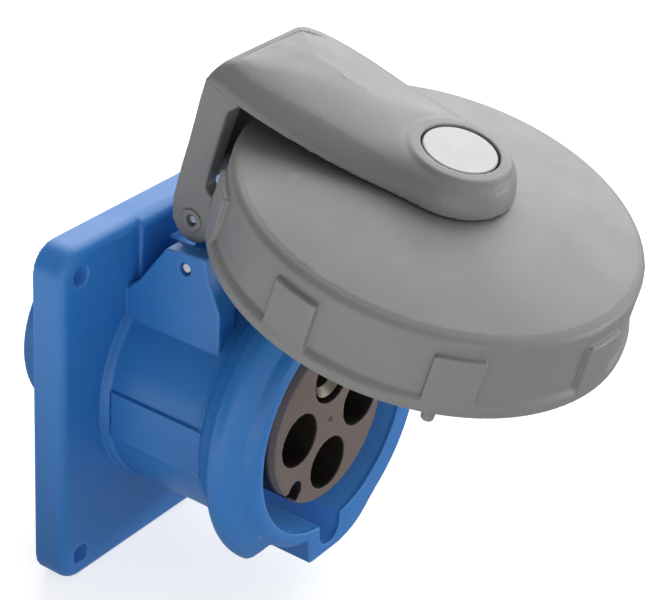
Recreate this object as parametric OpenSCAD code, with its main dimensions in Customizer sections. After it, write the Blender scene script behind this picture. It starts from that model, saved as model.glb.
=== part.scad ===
// Flanged watertight receptacle with a hinged bayonet cover.
// Origin: socket axis on the panel face of the flange. The socket faces -Y, +Z is up.
// Modules draw in a frame with x = right, y = up, z = forward from the panel;
// fwd() turns that frame into place.

/* [Flange] */
// Side of the square flange
flange_w = 93; // [90:0.5:98]
// Thickness of the flange
flange_t = 9; // [8:0.5:10]
// Corner radius of the flange
flange_r = 7; // [5:0.5:11]
// Radius of the rounded front edge
flange_edge = 2.8; // [1:0.2:3.4]
// Pitch of the four mounting holes
hole_pitch = 79; // [77:0.5:80]
// Diameter of the mounting holes
hole_d = 5; // [4.2:0.1:5.6]
// Width of the pad at the top of the flange face
pad_w = 37.6; // [34:0.2:38]
// Height of that pad above the flange face
pad_t = 0.9; // [0.6:0.1:2]

/* [Socket] */
// Outer diameter of the barrel
barrel_d = 63.6; // [63:0.2:65]
// Inner diameter of the mouth
mouth_d = 58.3; // [57.8:0.1:58.8]
// Height of the mouth rim above the panel
rim_h = 56.3; // [55.5:0.1:57]
// Diameter over the bayonet ring
ring_d = 78.6; // [77:0.2:79.4]
// Height of the ring crest above the panel
ring_h = 49.5; // [48.5:0.1:50]
// Diameter of the rear barrel
rear_d = 50; // [48:0.5:54]
// Length of the rear barrel behind the panel
rear_l = 23.5; // [20:0.5:28]
// Width of the main keyway
key_w = 8.2; // [7:0.1:9]

/* [Contacts] */
// Diameter of the contact insert
insert_d = 43.8; // [42:0.1:44.2]
// Height of the insert face above the panel
insert_h = 54.5; // [53.4:0.1:55]
// Diameter of the contact circle
pcd = 24.9; // [24:0.1:25.4]
// Diameter of the insert openings
well_d = 14; // [12:0.1:14.2]
// Bore of the phase contacts
phase_bore = 6.1; // [5.9:0.05:6.4]
// Bore of the ground contact
ground_bore = 8.1; // [7.9:0.05:8.4]

/* [Cover] */
// Opening angle of the cover in the rest pose
rest_open = 76.2; // [0:0.2:100]
// Height of the hinge axis above the socket axis
hinge_up = 50.87; // [50:0.01:52]
// Distance of the hinge axis from the panel
hinge_fwd = 23.7; // [23:0.1:24.4]
// Diameter of the hinge pin
hinge_pin_d = 2.8; // [2.4:0.1:3.2]
// Outer diameter of the cap at its bottom band
cap_d = 99.4; // [98:0.2:100]
// Number of grip tabs on the cap
tab_n = 8; // [4:1:12]
// Angle of the tabs from the vertical
tab_turn = 3.6; // [0:0.1:44]
// Diameter of the pivot button
button_d = 17.2; // [15:0.1:17.6]

/* [Hidden] */
$fn = 96;
overlap = 0.01;
far = 60; // length of cuts that run clear of the part

barrel_r = barrel_d/2;
mouth_r = mouth_d/2;
ring_r = ring_d/2;
insert_r = insert_d/2;
rear_r = rear_d/2;
rear_bore_r = rear_r - 2.6;
hinge_pin_r = hinge_pin_d/2;
cap_r = cap_d/2;

// hinge stations along x, from the middle outwards
knuckle_x = 8.4;
leg_in = 13.2;
cheek_in = 17;
leg_out = 17.6;
cheek_out = 23.2;
knuckle_r = 6;

// anchor pin of the torsion springs
anchor_up = 41;
anchor_fwd = 26.4;
anchor_r = 1.58;

// contacts: clock angle of each, sleeve size, terminals at the rear
l1_at = 90;
l2_at = 180;
l3_at = -90;
ground_at = 0;
poles = [l1_at, l2_at, l3_at, ground_at];
function sleeve_r(at) = at == ground_at ? 6.2 : 4.9;
function sleeve_top(at) = at == ground_at ? 53.2 : 45.5;
terminal_z = -13;
carrier_screw_r = 17.2; // from the socket axis

// pivot between arm and cap
pivot_r = 4.94;
arm_bore_r = 4.97;

blue = [0.25, 0.44, 0.70];
grey = [0.58, 0.58, 0.57];
brown = [0.44, 0.39, 0.37];
steel = [0.8, 0.8, 0.8];
brass = [0.78, 0.62, 0.30];
black = [0.12, 0.12, 0.12];

// ---- Frames ----

module fwd() { rotate([90, 0, 0]) children(); }
// y and z measured from the hinge axis, drawn shut
module swing() {
  fwd() translate([0, hinge_up, hinge_fwd]) rotate([-rest_open, 0, 0]) children();
}
// y from the cap axis and z from the hinge axis, drawn shut
module on_cap() { swing() translate([0, -hinge_up, 0]) children(); }
// clock position: angle clockwise from 12 as seen from the front
module clock(angle) { rotate([0, 0, -angle]) children(); }
module at_pole(at) { clock(at) translate([0, pcd/2, 0]) children(); }
// child z pointing outwards (up at 12 o'clock) at the height of the terminals
module terminal_axis() { translate([0, 0, terminal_z]) rotate([-90, 0, 0]) children(); }
module at_carrier_screws(z) {
  rotate([0, 0, 45]) for (side = [-1, 1]) translate([side*carrier_screw_r, 0, z]) children();
}
module both_sides() { for (s = [0, 1]) mirror([s, 0, 0]) children(); }

// ---- Shapes ----

module x_cylinder(r, x0, x1, y = 0, z = 0) {
  translate([x0, y, z]) rotate([0, 90, 0]) cylinder(r = r, h = x1 - x0);
}
// pin along x with chamfered ends
module x_pin(r, half_l, chamfer = 0.5) {
  rotate([0, 90, 0]) rotate_extrude() polygon([
    [0, -half_l], [r - chamfer, -half_l], [r, -half_l + chamfer],
    [r, half_l - chamfer], [r - chamfer, half_l], [0, half_l]
  ]);
}
// plate across x from a side view drawn as [z forward, y up]
module side_plate(x0, width) {
  translate([x0, 0, 0]) rotate([0, 90, 0]) linear_extrude(width) mirror([1, 0]) children();
}
module tube(outer_r, inner_r, h) {
  difference() {
    cylinder(r = outer_r, h = h);
    translate([0, 0, -1]) cylinder(r = inner_r, h = h + 2);
  }
}
module o_ring(r, wire_r) { rotate_extrude() translate([r, 0]) circle(r = wire_r, $fn = 24); }
// sector of a turned profile between two clock angles
module turn(from, to) { rotate([0, 0, 90 - to]) rotate_extrude(angle = to - from) children(); }

// ---- Housing ----

module rounded_square(w, r) {
  corner = w/2 - r;
  square([w, w - 2*r], center = true);
  square([w - 2*r, w], center = true);
  for (x = [-1, 1], y = [-1, 1]) translate([x*corner, y*corner]) circle(r);
}
// the quarter-round front edge is a stack of slices
module flange_plate(steps = 5) {
  linear_extrude(flange_t - flange_edge) rounded_square(flange_w, flange_r);
  for (i = [0:steps - 1]) {
    a0 = 90*i/steps;
    a1 = 90*(i + 1)/steps;
    inset = flange_edge*(1 - cos((a0 + a1)/2));
    translate([0, 0, flange_t - flange_edge + flange_edge*sin(a0) - overlap])
      linear_extrude(flange_edge*(sin(a1) - sin(a0)) + overlap)
        rounded_square(flange_w - 2*inset, flange_r - inset);
  }
}
module flange_pad() {
  pad_bottom = 28;
  sunk = 2;
  translate([-pad_w/2, pad_bottom, flange_t - sunk])
    cube([pad_w, flange_w/2 - 0.9 - pad_bottom, sunk + pad_t]);
}

// turned profiles are [radius, height above the panel]
module barrel_profile() {
  polygon([
    [mouth_r - 1, 5], [barrel_r + 0.9, 5], [barrel_r + 0.9, flange_t + 0.6],
    [barrel_r + 0.5, flange_t + 1.6], [barrel_r, flange_t + 2.2], [barrel_r, 39],
    [mouth_r - 1, 39]
  ]);
}
module ring_profile() {
  polygon([
    [mouth_r + 1.2, 30], [barrel_r - 0.05, 36], [barrel_r, 38.4], [barrel_r + 0.3, 38.7],
    [barrel_r + 0.3, 39.3], [barrel_r + 1.5, 40.5], [barrel_r + 2.5, 41.6],
    [barrel_r + 3.6, 43.7], [ring_r - 2.8, ring_h - 4.1], [ring_r - 2.5, ring_h - 3.5],
    [ring_r - 0.75, ring_h - 2.9], [ring_r - 0.2, ring_h - 2.2], [ring_r, ring_h - 1.3],
    [ring_r - 0.1, ring_h - 0.4], [ring_r - 0.6, ring_h + 0.6], [ring_r - 1.5, ring_h + 1.5],
    [ring_r - 3.6, ring_h + 2.9], [ring_r - 5.7, ring_h + 4.7], [ring_r - 6.6, rim_h - 1.3],
    [ring_r - 7.8, rim_h - 0.4], [ring_r - 9, rim_h], [mouth_r + 0.3, rim_h],
    [mouth_r + 0.3, 40]
  ]);
}
module rim_profile() {
  rim_r = barrel_r + 1.6;
  polygon([
    [mouth_r - 0.5, 28], [barrel_r - 0.5, 28], [barrel_r, 36.5], [rim_r - 0.4, 39],
    [rim_r, 40.5], [rim_r, rim_h - 2], [rim_r - 0.6, rim_h - 1], [rim_r - 1.5, rim_h - 0.3],
    [rim_r - 2.4, rim_h], [mouth_r + 0.3, rim_h], [mouth_r - 0.5, rim_h - 0.6]
  ]);
}
module land_profile() {
  land_r = 36.1;
  polygon([
    [mouth_r - 0.5, 44], [land_r, 44], [land_r, rim_h - 0.8], [land_r - 0.4, rim_h - 0.2],
    [land_r - 0.9, rim_h], [mouth_r - 0.5, rim_h]
  ]);
}
module rear_profile() {
  polygon([
    [rear_bore_r - 1, 0], [rear_r - 1.0, 0], [rear_r - 0.4, 0.2], [rear_r - 0.1, 0.6],
    [rear_r, 1.2], [rear_r, rear_l + 6], [rear_bore_r - 1, rear_l + 6]
  ]);
}
// front view of the block around the keyway, [x, y]
module key_block_outline() {
  polygon([
    [-9.4, -24], [-8.9, -31], [-7.9, -37.7], [-7.2, -38.2], [3.3, -38.2], [6.2, -37.9],
    [9.2, -37.2], [12.4, -35.9], [15.2, -34.0], [18.0, -31.4], [20.3, -29.3], [16, -24],
    [10, -20], [-6, -20]
  ]);
}
// side view of a hinge cheek, [z forward, y up]
module cheek_outline() {
  polygon([
    [5, 18], [9, 29.7], [12.8, 33.2], [19.9, 43.4], [20.5, 44.1], [21.4, 44.55],
    [31.3, 45.6], [32.0, 45.4], [32.5, 44.7], [33.9, 39.6], [34.4, 38.6], [37.0, 32.65],
    [37.4, 18]
  ]);
}

module socket_body() {
  rotate_extrude() barrel_profile();
  // bayonet ring, open at the bottom left
  turn(-141, 172) ring_profile();
  // rim across that opening
  turn(-196, -136) rim_profile();
  // wide land on the right of the mouth
  turn(6, 168) land_profile();
  translate([0, 0, 29]) linear_extrude(rim_h - 29) key_block_outline();
  // flat land on the left of the barrel
  translate([-barrel_r - 0.35, -7.3, flange_t + 2.6]) cube([6, 13, 27.9]);
  translate([0, 0, -rear_l]) rotate_extrude() rear_profile();
}
module hinge_mounts() {
  foot_y = 26;
  both_sides() side_plate(cheek_in, cheek_out - cheek_in) cheek_outline();
  // centre knuckle on its post and foot
  x_cylinder(knuckle_r, -knuckle_x, knuckle_x, hinge_up, hinge_fwd);
  translate([-knuckle_x, foot_y, hinge_fwd - knuckle_r])
    cube([knuckle_x*2, hinge_up - foot_y, 2*knuckle_r]);
  translate([-knuckle_x, foot_y, 5]) cube([knuckle_x*2, 12, hinge_fwd - 6]);
}
module socket_cuts() {
  // mouth with a chamfered edge, floor bore and rear bore
  translate([0, 0, 10]) cylinder(r = mouth_r, h = far);
  translate([0, 0, rim_h - 0.5]) cylinder(r1 = mouth_r, r2 = mouth_r + 0.6, h = 0.6);
  translate([0, 0, 2]) cylinder(r = insert_r + 0.15, h = 20);
  translate([0, 0, -rear_l - 1]) cylinder(r = rear_bore_r, h = rear_l + 3.15);
  // main keyway, a little right of centre: wide front part, then the shallow full length
  translate([0.3, 0, 0]) {
    translate([-key_w/2, -32, 32]) cube([key_w, 12, 40]);
    translate([0, -31.8, 32]) cylinder(r = key_w/2, h = 40);
    translate([-key_w/2, -30.7, 12]) cube([key_w, 8, 40]);
  }
  // driver holes for the terminal screws
  for (at = poles) clock(at) translate([0, 12, 0]) terminal_axis() cylinder(r = 2.8, h = 20);
}
module flange_cuts() {
  for (x = [-1, 1], y = [-1, 1])
    translate([x*hole_pitch/2, y*hole_pitch/2, -1]) cylinder(d = hole_d, h = flange_t + 5);
  // gasket groove in the back
  translate([0, 0, -overlap]) tube(36.5, 32.5, 2);
}
module hinge_cuts() {
  x_cylinder(hinge_pin_r + 0.06, -12, 12, hinge_up, hinge_fwd);
  x_cylinder(anchor_r + 0.04, -30, 30, anchor_up, anchor_fwd);
  // room for the leg ends
  both_sides() x_cylinder(7.2, cheek_in - 1, 19, hinge_up, hinge_fwd);
}
module housing() {
  color(blue) fwd() difference() {
    union() {
      flange_plate();
      flange_pad();
      socket_body();
      hinge_mounts();
    }
    socket_cuts();
    flange_cuts();
    hinge_cuts();
  }
}
module panel_gasket() { color(black) fwd() translate([0, 0, 0.1]) tube(36.2, 32.8, 1.75); }

// ---- Insert and carrier ----

module sleeve_passages(z) {
  for (at = poles) at_pole(at) translate([0, 0, z]) cylinder(r = sleeve_r(at) + 0.2, h = far);
}
module contact_insert() {
  notch_r = 2.6;
  color(brown) fwd() difference() {
    union() {
      rotate_extrude() polygon([
        [0, 2.2], [insert_r - 0.4, 2.2], [insert_r, 2.6], [insert_r, insert_h - 0.5],
        [insert_r - 0.15, insert_h - 0.15], [insert_r - 0.5, insert_h], [0, insert_h]
      ]);
      // base disc that fills the mouth
      translate([0, 0, 10.05]) cylinder(r = mouth_r - 0.25, h = 3);
    }
    for (at = poles)
      at_pole(at) translate([0, 0, 22]) cylinder(d = well_d + (at == ground_at ? 0.3 : 0), h = far);
    sleeve_passages(0);
    // round-bottomed side notch at half past seven
    clock(-137) translate([0, insert_r - notch_r, 20]) {
      translate([-notch_r, 0, 0]) cube([2*notch_r, 6, far]);
      cylinder(r = notch_r, h = far);
    }
    at_carrier_screws(-5) cylinder(r = 1.3, h = 20);
    cylinder(r = 1.6, h = 12);
  }
}
module insert_seal() {
  color(black) fwd() translate([0, 0, 14.2]) o_ring((mouth_r + insert_r)/2, 0.9);
}
module contact_carrier() {
  color(black) fwd() difference() {
    translate([0, 0, -20]) cylinder(r = rear_bore_r - 0.2, h = 22.1);
    sleeve_passages(-30);
    // screwdriver ways for the terminal screws
    for (at = poles) at_pole(at) terminal_axis() cylinder(r = 2.6, h = 30);
    // screw holes with head recesses in the rear face
    at_carrier_screws(-21) {
      cylinder(r = 1.7, h = 40);
      cylinder(r = 3.1, h = 4);
    }
    translate([0, 0, -21]) cylinder(r = 3.0, h = 12);
  }
}

// ---- Contacts ----

// slotted front, solid middle, wire well at the rear with a cross hole
module sleeve(at, bore_d, chamfer = 1.2) {
  r = sleeve_r(at);
  top = sleeve_top(at);
  bore_r = bore_d/2;
  rear_z = -19.5;
  slot = 0.8;
  at_pole(at) difference() {
    rotate_extrude()
      polygon([[0, rear_z], [r, rear_z], [r, top - 0.4], [r - 0.2, top], [0, top]]);
    translate([0, 0, 12]) cylinder(r = bore_r, h = far);
    translate([0, 0, top - chamfer])
      cylinder(r1 = bore_r, r2 = bore_r + chamfer + 0.1, h = chamfer + 0.1);
    // wire well
    translate([0, 0, -20]) cylinder(r = 3.2, h = 15);
    for (a = [45, 135]) rotate([0, 0, a]) translate([-slot/2, -20, 24]) cube([slot, 40, far]);
    // groove for the spring band
    translate([0, 0, top - 7]) tube(r + 1, r - 0.5, 2.4);
    terminal_axis() cylinder(r = 1.85, h = 20);
  }
}
module contact_l1() { color(brass) fwd() sleeve(l1_at, phase_bore); }
module contact_l2() { color(brass) fwd() sleeve(l2_at, phase_bore); }
module contact_l3() { color(brass) fwd() sleeve(l3_at, phase_bore); }
module contact_ground() { color(brass) fwd() sleeve(ground_at, ground_bore, chamfer = 1.9); }

// split rings in the sleeve grooves
module spring_bands() {
  color(steel) fwd() for (at = poles)
    at_pole(at) translate([0, 0, sleeve_top(at) - 6.9]) difference() {
      tube(sleeve_r(at) - 0.05, sleeve_r(at) - 0.46, 2.2);
      rotate([0, 0, 45]) translate([0, -0.6, -1]) cube([20, 1.2, 5]);
    }
}
module terminal_screws() {
  color(steel) fwd() for (at = poles)
    at_pole(at) terminal_axis() translate([0, 0, 3.3]) difference() {
      cylinder(r = 1.8, h = 4.4);
      translate([-0.35, -3, 3.5]) cube([0.7, 6, 2]);
    }
}
module carrier_screws() {
  color(steel) fwd() at_carrier_screws(-19.4) difference() {
    union() {
      cylinder(r = 2.8, h = 2.3);
      cylinder(r = 1.25, h = 32);
    }
    translate([-0.4, -4, -1]) cube([0.8, 8, 1.9]);
  }
}

// ---- Hinge pins and springs ----

module hinge_pin() { color(steel) swing() x_pin(hinge_pin_r, leg_out - 0.5); }
module anchor_pin() {
  color(steel) fwd() translate([0, anchor_up, anchor_fwd]) x_pin(anchor_r, cheek_out - 0.9);
}

function unit(v) = v/norm(v);
// round wire swept along a list of points
module wire(path, r, sides = 8) {
  last = len(path) - 1;
  // slightly off the x axis, so that it is never parallel to the path
  side_ref = [1, 0.013, 0.021];
  points = [
    for (i = [0:last])
      let (
        along = unit(path[min(i + 1, last)] - path[max(i - 1, 0)]),
        u = unit(cross(along, side_ref)),
        v = cross(along, u)
      )
      for (k = [0:sides - 1]) path[i] + r*cos(360*k/sides)*u + r*sin(360*k/sides)*v
  ];
  walls = [
    for (i = [0:last - 1], k = [0:sides - 1])
      let (near = i*sides, next = near + sides, k2 = (k + 1)%sides)
      [near + k, next + k, next + k2, near + k2]
  ];
  start_cap = [for (k = [0:sides - 1]) k];
  end_cap = [for (k = [sides - 1:-1:0]) last*sides + k];
  polyhedron(points = points, faces = concat([start_cap], walls, [end_cap]));
}

coil_r = 3.6;
coil_wire_r = 0.45;
coil_turns = 3;
coil_x0 = knuckle_x + 0.7;
coil_x1 = leg_in - 0.75;
// the fixed leg is the line that touches the coil and the back of the anchor pin
anchor_offset = [anchor_up - hinge_up, anchor_fwd - hinge_fwd];
anchor_dir = unit(anchor_offset);
leg_tilt = asin((coil_r - anchor_r - coil_wire_r - 0.1)/norm(anchor_offset));
leg_normal = [-anchor_dir[1], anchor_dir[0]]*cos(leg_tilt) + anchor_dir*sin(leg_tilt);
coil_a0 = 180 + asin(-leg_normal[0]);
coil_a1 = 90 + rest_open - 360*coil_turns;
function coil_point(a, x) = [x, coil_r*sin(a), coil_r*cos(a)];
function coil_tangent(a) = [0, cos(a), -sin(a)];

module torsion_springs() {
  steps = 20*coil_turns + 2;
  coil = [
    for (i = [0:steps])
      let (q = i/steps)
      coil_point(coil_a0 + (coil_a1 - coil_a0)*q, coil_x0 + (coil_x1 - coil_x0)*q)
  ];
  fixed_dir = coil_tangent(coil_a0);
  moving_dir = -coil_tangent(coil_a1);
  fixed_leg = [for (l = [10.6, 3]) coil[0] + l*fixed_dir];
  moving_leg = [for (l = [3, 13]) coil[steps] + l*moving_dir];
  color(steel) fwd() translate([0, hinge_up, hinge_fwd])
    both_sides() wire(concat(fixed_leg, coil, moving_leg), coil_wire_r);
}

// ---- Arm ----

// front outline at one height; the back corners are cut on the line x + y = corner_sum
module arm_plan(inset, back, corner_sum) {
  side = 19.4 - 0.6*inset;
  back_x = min(side - 2.2, corner_sum - back);
  side_y = min(back - 2.6, corner_sum - side);
  // edge stations: half width, share of the inset, y
  edge = [
    [20.7, 0.7, 44], [20.6, 0.95, 33], [19.8, 1, 22], [18.0, 0.85, 12],
    [15.9, 0.5, 3.4], [15.2, 0.35, 0.4]
  ];
  right = concat([[back_x, back], [side, side_y]], [for (s = edge) [s[0] - s[1]*inset, s[2]]]);
  left = [for (i = [len(right) - 1:-1:0]) [-right[i][0], right[i][1]]];
  polygon(concat(right, left));
  translate([0, 0.4]) circle(r = 15.2 - 0.35*inset);
}
module arm_plate() {
  // slices: z forward from the hinge, inset, y of the back edge
  slices = [
    [36.9, 0.1, 56.2], [38.1, 0.2, 56.1], [39.0, 0.6, 56.0], [40.4, 1.7, 55.8],
    [41.6, 3.1, 54.7], [43.0, 6.0, 53.2], [44.0, 9.5, 52.1], [44.8, 13.5, 51.2]
  ];
  hull() for (s = slices)
    translate([0, 0, s[0]]) linear_extrude(0.2)
      arm_plan(s[1], s[2], hinge_up + 24.7 - 1.55*(s[0] - slices[0][0]));
  // boss around the button
  translate([0, 0, 43]) cylinder(r = 11.6, h = 2.15);
}
// side view of a leg, [z forward, y up] from the hinge axis
module leg_outline() {
  polygon([
    [-4.4, 3.9], [-2.9, 5.6], [2.8, 6.7], [11.6, 6.7], [20, 6.1], [37.4, 5.4], [39, 4.0],
    [39, -6], [36.9, -5.0], [35.4, -4.6], [33.8, -3.6], [32.6, -2.6], [31, -2.2],
    [24, -1.9], [10.5, -1.0], [9.3, -2.2], [8.8, -4.2], [6.4, -4.6], [0, -5.9]
  ]);
  circle(r = 5.9);
}
module arm_leg() {
  lean = leg_out + 1.3;
  intersection() {
    side_plate(leg_in, 6) leg_outline();
    // the outer side leans outwards towards the front
    translate([0, 20, 0]) rotate([90, 0, 0]) linear_extrude(40) polygon([
      [leg_in, -10], [leg_out, -10], [leg_out, 12], [lean, 32], [lean, 42], [leg_in, 42]
    ]);
  }
  x_cylinder(2.9, leg_out - 1, leg_out + 0.5);
}
// bar from leg to leg
module cross_bar(y, z, height, depth) {
  translate([-leg_in - 1, y, z]) cube([2*leg_in + 2, height, depth]);
}
module arm() {
  color(grey) swing() difference() {
    union() {
      translate([0, -hinge_up, 0]) arm_plate();
      both_sides() arm_leg();
      // back wall between the legs
      cross_bar(2.6, 14, 3.2, 24);
      // cross rib the spring legs press on
      for (z = [9.4, 12]) cross_bar(0.6, z, 2.4, 3);
    }
    x_cylinder(hinge_pin_r + 0.02, -30, 30);
    // pivot bore and button recess
    translate([0, -hinge_up, 30]) cylinder(r = arm_bore_r, h = 30);
    translate([0, -hinge_up, 42]) cylinder(r = button_d/2 + 0.5, h = 10);
  }
}

// ---- Cap and pivot: profiles are [radius, z forward from the hinge axis] ----

// skirt, small fillet and domed top
module cap_outer() {
  polygon([
    [0, 10.7], [cap_r - 0.9, 10.7], [cap_r - 0.3, 11.0], [cap_r, 11.7], [cap_r, 13.7],
    [cap_r - 0.4, 14.1], [cap_r - 1.25, 14.3], [cap_r - 1.6, 22], [cap_r - 1.8, 28.4],
    [cap_r - 2.0, 29.4], [cap_r - 2.6, 30.15], [cap_r - 3.5, 30.65], [42, 31.76],
    [36, 33.12], [30, 34.27], [24, 35.2], [18, 35.93], [12, 36.44], [6, 36.75], [0, 36.85]
  ]);
}
// room inside the cap
module cap_inner() {
  polygon([
    [0, 5], [cap_r - 3.9, 5], [cap_r - 3.9, 26], [cap_r - 8.1, 30.3], [cap_r - 10.3, 31.7],
    [cap_r - 11, 31.95], [37.5, 32.1], [35.9, 32.45], [35.2, 32.75], [31.9, 33.32],
    [27.7, 33.9], [22, 34.2], [0, 34.2]
  ]);
}
// bayonet lug inside the skirt
module lug() {
  intersection() {
    difference() {
      translate([-5.5, 30, 18.3]) cube([11, 17, 2.3]);
      cylinder(r = 37, h = far);
    }
    cylinder(r = 47.6, h = far);
  }
}
module grip_tab() {
  intersection() {
    rotate_extrude() polygon([
      [cap_r - 3, 12.5], [cap_r - 0.05, 12.5], [cap_r - 0.35, 25.2], [cap_r - 0.8, 25.8],
      [cap_r - 3, 25.9]
    ]);
    translate([-5.8, 40, 10]) cube([11.6, 20, 20]);
  }
}
module cap() {
  color(grey) on_cap() difference() {
    union() {
      difference() {
        rotate_extrude() cap_outer();
        rotate_extrude() cap_inner();
      }
      for (i = [0:tab_n - 1]) clock(i*360/tab_n + tab_turn) grip_tab();
      for (a = [-155, 25]) clock(a) lug();
      // peg on the edge of the skirt
      clock(-128.5) translate([0, cap_r - 2.2, 7.9]) cylinder(r = 1.5, h = 6);
      // lip inside the seal
      translate([0, 0, 32.9]) tube(27.6, 26.4, 1.5);
    }
    // pivot hole and O-ring recess
    cylinder(r = 5.0, h = far);
    translate([0, 0, 35.0]) cylinder(r = 6.6, h = 5);
  }
}
module cap_gasket() { color(black) on_cap() translate([0, 0, 32.75]) tube(31.8, 27.8, 0.55); }
module pivot_oring() { color(black) on_cap() translate([0, 0, 35.8]) o_ring(5.79, 0.7); }
// grooved shank with the button at the front
module pivot_pin() {
  button_r = button_d/2;
  color(steel) on_cap() rotate_extrude() polygon([
    [0, 31.6], [4.6, 31.6], [pivot_r, 31.9], [pivot_r, 32.3], [4.2, 32.3], [4.2, 33.2],
    [pivot_r, 33.2], [pivot_r, 42.65], [button_r - 0.2, 42.65], [button_r, 42.85],
    [button_r, 44.95], [button_r - 0.25, 45.15], [0, 45.25]
  ]);
}
module wave_washer() { color(steel) on_cap() translate([0, 0, 42.1]) tube(8.3, 5.2, 0.45); }
module pivot_washer() { color(steel) on_cap() translate([0, 0, 33.25]) tube(9, 5.1, 0.8); }
module pivot_clip() {
  color(steel) on_cap() translate([0, 0, 32.4]) difference() {
    tube(7.2, 4.3, 0.7);
    translate([-1.6, 0, -1]) cube([3.2, 20, 4]);
  }
}

housing();
panel_gasket();
contact_insert();
insert_seal();
contact_carrier();
contact_l1();
contact_l2();
contact_l3();
contact_ground();
spring_bands();
terminal_screws();
carrier_screws();
hinge_pin();
anchor_pin();
torsion_springs();
arm();
pivot_pin();
wave_washer();
pivot_washer();
pivot_clip();
cap();
cap_gasket();
pivot_oring();
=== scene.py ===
# A blue panel socket with four round poles and a round grey cap held open by a sprung arm.
#
# Shapes are drawn in millimetres: x right, y up, z forward out of the panel, with the
# socket's axis on z and the back of its square flange at z = 0. In the world, forward is
# -Y and up is +Z. The cap and the arm are drawn shut, then swung up about the hinge.
import math
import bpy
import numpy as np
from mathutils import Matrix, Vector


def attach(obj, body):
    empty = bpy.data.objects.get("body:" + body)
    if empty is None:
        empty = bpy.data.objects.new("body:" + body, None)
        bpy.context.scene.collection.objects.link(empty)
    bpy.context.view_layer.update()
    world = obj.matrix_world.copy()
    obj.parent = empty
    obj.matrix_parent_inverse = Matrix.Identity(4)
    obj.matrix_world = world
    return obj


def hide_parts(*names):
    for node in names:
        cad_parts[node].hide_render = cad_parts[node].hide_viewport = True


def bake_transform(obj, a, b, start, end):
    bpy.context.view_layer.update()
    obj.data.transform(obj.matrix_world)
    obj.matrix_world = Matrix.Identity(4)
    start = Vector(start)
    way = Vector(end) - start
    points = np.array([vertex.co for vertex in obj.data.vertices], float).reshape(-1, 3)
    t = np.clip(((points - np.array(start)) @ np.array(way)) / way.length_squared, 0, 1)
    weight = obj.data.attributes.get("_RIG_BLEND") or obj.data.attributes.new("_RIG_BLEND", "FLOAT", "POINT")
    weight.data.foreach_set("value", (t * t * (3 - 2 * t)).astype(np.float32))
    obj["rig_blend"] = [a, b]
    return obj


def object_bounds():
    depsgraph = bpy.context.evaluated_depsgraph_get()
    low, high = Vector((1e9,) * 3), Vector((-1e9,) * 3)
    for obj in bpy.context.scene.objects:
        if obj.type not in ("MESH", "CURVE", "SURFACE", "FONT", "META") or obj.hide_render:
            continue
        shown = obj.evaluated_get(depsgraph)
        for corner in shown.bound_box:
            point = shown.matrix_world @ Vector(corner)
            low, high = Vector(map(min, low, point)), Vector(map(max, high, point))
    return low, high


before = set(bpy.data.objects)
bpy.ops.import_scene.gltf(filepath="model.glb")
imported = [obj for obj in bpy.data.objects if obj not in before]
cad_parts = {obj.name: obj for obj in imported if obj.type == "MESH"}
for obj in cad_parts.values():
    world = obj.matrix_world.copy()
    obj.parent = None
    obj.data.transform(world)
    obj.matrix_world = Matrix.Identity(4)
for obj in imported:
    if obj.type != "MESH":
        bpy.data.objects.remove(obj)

from concurrent.futures import ThreadPoolExecutor
from itertools import product

import bmesh
import bpy
import numpy as np
from mathutils import Matrix, Vector


def measured_box():
    return [list(map(float, corner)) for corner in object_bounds()]


cad_box = measured_box()

MM_PER_M = 1000.0
COARSE = 1.0  # widens the grid spacing for quick builds

BARREL_RADIUS = 31.8
MOUTH_RADIUS = 29.15
RIM_HEIGHT = 56.3
SCREW_OFFSET = 39.5  # flange screw holes, from the axis in x and in y
KEYWAY_X = 0.3
HINGE_UP, HINGE_FORWARD = 50.87, 23.7
ANCHOR_UP, ANCHOR_FORWARD = 41.0, 26.4  # pin that holds the fixed spring legs
OPEN_DEGREES = 76.2
CAP_RADIUS = 49.7
DOME_RADIUS = 175.8
DOME_TOP = 36.85


# ---------------------------------------------------------------- shape fields
# A field takes arrays x, y, z and returns a signed distance, negative inside.


def meet(a, b, radius=0.0):
    """Intersection, its edge rounded if a radius is given."""
    if not radius:
        return np.maximum(a, b)
    outside = np.hypot(np.maximum(a + radius, 0), np.maximum(b + radius, 0))
    return np.minimum(-radius, np.maximum(a, b)) + outside


def join(a, b, radius):
    """Union with a rounded inner corner."""
    inside = np.hypot(np.maximum(radius - a, 0), np.maximum(radius - b, 0))
    return np.maximum(radius, np.minimum(a, b)) - inside


def cut(body, tool, radius=0.0):
    return meet(body, -tool, radius)


def clamp(value):
    return np.clip(value, 0, 1)


def ease(value):
    t = clamp(value)
    return t * t * (3 - 2 * t)


def melt(a, b, width):
    """Union blended smoothly over a width."""
    share = clamp(0.5 + 0.5 * (b - a) / width)
    return b + (a - b) * share - width * share * (1 - share)


def rect(x, y, half_x, half_y, radius):
    over_x, over_y = np.abs(x) - half_x + radius, np.abs(y) - half_y + radius
    outside = np.hypot(np.maximum(over_x, 0), np.maximum(over_y, 0))
    return np.minimum(np.maximum(over_x, over_y), 0) + outside - radius


def extrude(profile, z, z0, z1, radius):
    return meet(profile, np.abs(z - (z0 + z1) / 2) - (z1 - z0) / 2, radius)


def box(x, y, z, x0, x1, y0, y1, z0, z1, radius):
    outline = rect(x - (x0 + x1) / 2, y - (y0 + y1) / 2, (x1 - x0) / 2, (y1 - y0) / 2, radius)
    return extrude(outline, z, z0, z1, radius)


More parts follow.
